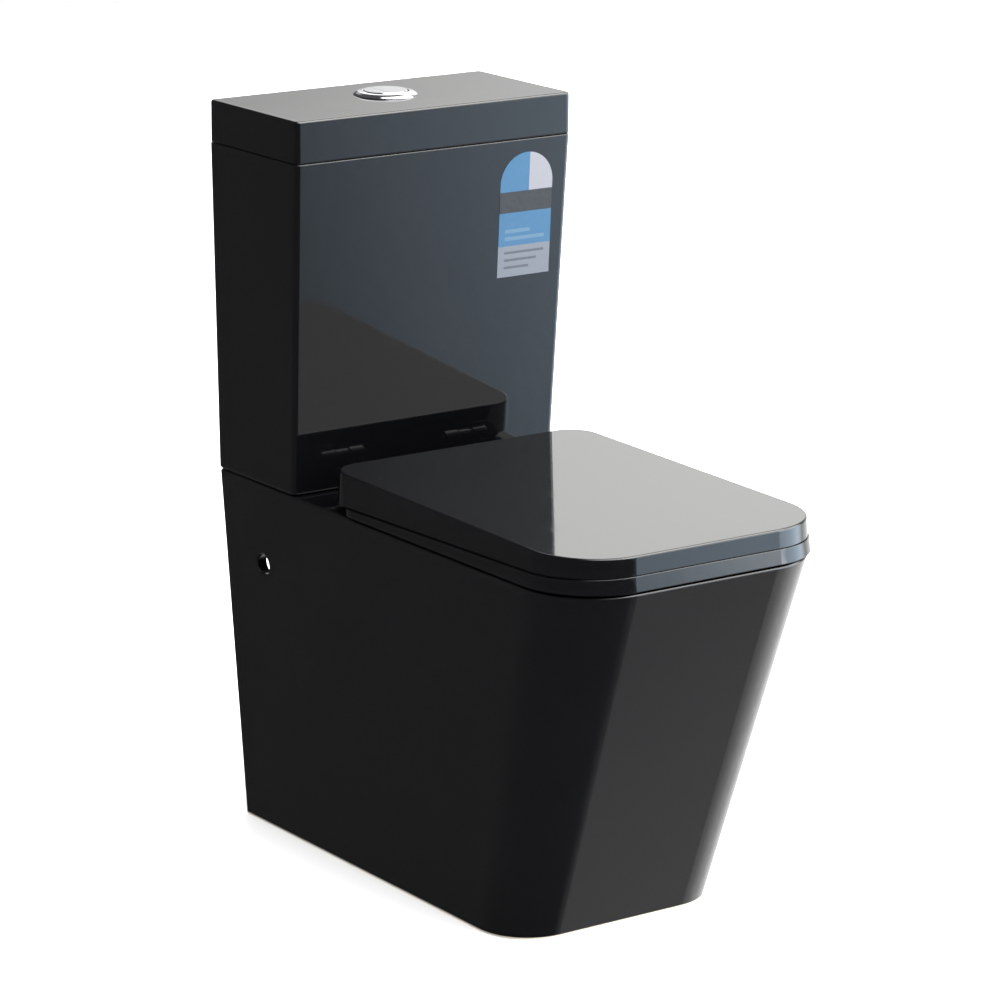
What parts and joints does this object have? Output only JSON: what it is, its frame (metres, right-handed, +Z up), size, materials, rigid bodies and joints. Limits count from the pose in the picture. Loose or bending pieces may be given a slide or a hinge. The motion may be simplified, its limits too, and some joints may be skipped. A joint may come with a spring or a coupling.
{
  "type": "close coupled toilet",
  "caption": "Back-to-wall close coupled toilet: tapered skirted pan, tapered cistern with lift-off lid and dual flush button, hinged seat and lid.",
  "frame": {"origin": "on the floor under the centre of the suite's box, half way between the wall and the front of the seat", "axes": "+Z up, -Y the front of the toilet, +Y the wall behind it, +X the right-hand side seen from the front"},
  "size_m": [0.365, 0.683, 0.845],
  "materials": {
    "black_glaze": "gloss black glaze",
    "seat_black": "polished black thermoset",
    "chrome": "polished",
    "steel": "satin",
    "brass": "satin",
    "white_plastic": "moulded",
    "blue_plastic": "moulded",
    "rubber": "matt",
    "label": "printed film"
  },
  "bodies": {
    "base": {"pan": "black_glaze", "cistern_tank": "black_glaze", "hinge_posts": "seat_black", "hinge_pins": "chrome", "hinge_bolts": "steel", "cistern_bolts": "steel", "bolt_plates": "steel", "deck_plates": "steel", "lever_pin": "steel", "float_lever_pin": "steel", "inlet_tail": "brass", "cistern_wing_nuts": "brass", "hinge_wing_nuts": "brass", "flush_valve_washer": "rubber", "coupling_gasket": "rubber", "inlet_washer": "rubber", "bolt_seals": "rubber", "deck_washers": "rubber", "hinge_washers": "rubber", "cistern_pads": "rubber", "rating_label": "label", "flush_valve_body": "white_plastic", "flush_valve_backnut": "white_plastic", "lever_bridge": "white_plastic", "inlet_locknut": "white_plastic", "inlet_valve_body": "white_plastic"},
    "cistern_lid": {"cistern_lid": "black_glaze", "button_bezel": "chrome", "bezel_nut": "white_plastic", "button_guide": "white_plastic", "full_button_spring": "steel", "half_button_spring": "steel"},
    "full_button": {"full_flush_button": "chrome", "full_push_rod": "white_plastic"},
    "half_button": {"half_flush_button": "chrome", "half_push_rod": "white_plastic"},
    "flush_tube": {"overflow_tube": "blue_plastic", "flush_valve_seal": "rubber"},
    "full_lever": {"full_flush_lever": "white_plastic"},
    "half_lever": {"half_flush_lever": "white_plastic"},
    "float": {"float_cup": "blue_plastic", "float_link": "white_plastic"},
    "float_arm": {"float_lever": "white_plastic"},
    "seat": {"seat_ring": "seat_black", "seat_hinge_blades": "seat_black", "seat_hinge_screws": "steel", "seat_bumpers": "rubber"},
    "lid": {"seat_lid": "seat_black", "lid_hinge_blades": "seat_black", "lid_hinge_screws": "steel", "lid_bumpers": "rubber"}
  },
  "joints": [
    {"name": "seat_hinge", "type": "hinge", "parent": "base", "child": "seat", "pos_m": [0, 0.1365, 0.437], "axis": [1, 0, 0], "range_deg": [-90, 0]},
    {"name": "lid_hinge", "type": "hinge", "parent": "seat", "child": "lid", "pos_m": [0, 0.1365, 0.437], "axis": [-1, 0, 0], "range_deg": [0, 90]},
    {"name": "cistern_lid_lift", "type": "slide", "parent": "base", "child": "cistern_lid", "axis": [0, 0, 1], "range_m": [0, 0.12]},
    {"name": "full_button_press", "type": "slide", "parent": "cistern_lid", "child": "full_button", "axis": [0, 0, -1], "range_m": [0, 0.008], "stiffness_N_per_m": 500, "springref_m": -0.006, "deforming": ["full_button_spring"]},
    {"name": "half_button_press", "type": "slide", "parent": "cistern_lid", "child": "half_button", "axis": [0, 0, -1], "range_m": [0, 0.008], "stiffness_N_per_m": 400, "springref_m": -0.006, "deforming": ["half_button_spring"]},
    {"name": "tube_lift", "type": "slide", "parent": "base", "child": "flush_tube", "axis": [0, 0, 1], "range_m": [0, 0.011]},
    {"name": "full_lever_rock", "type": "hinge", "parent": "base", "child": "full_lever", "pos_m": [0, 0.2635, 0.755], "axis": [0, 1, 0], "range_deg": [0, 30]},
    {"name": "half_lever_rock", "type": "hinge", "parent": "base", "child": "half_lever", "pos_m": [0, 0.2635, 0.755], "axis": [0, -1, 0], "range_deg": [0, 30]},
    {"name": "float_rise", "type": "slide", "parent": "base", "child": "float", "axis": [0, 0, 1], "range_m": [0, 0.012]},
    {"name": "float_arm_rock", "type": "hinge", "parent": "base", "child": "float_arm", "pos_m": [-0.111, 0.2635, 0.735], "axis": [0, 1, 0], "range_deg": [0, 18]}
  ],
  "couplings": [
    {"joint": "tube_lift", "follows": "full_button_press", "ratio": 1.325},
    {"joint": "full_lever_rock", "follows": "full_button_press", "rad_per_m": 65},
    {"joint": "half_lever_rock", "follows": "half_button_press", "rad_per_m": 65},
    {"joint": "float_arm_rock", "follows": "float_rise", "rad_per_m": 25.8}
  ]
}
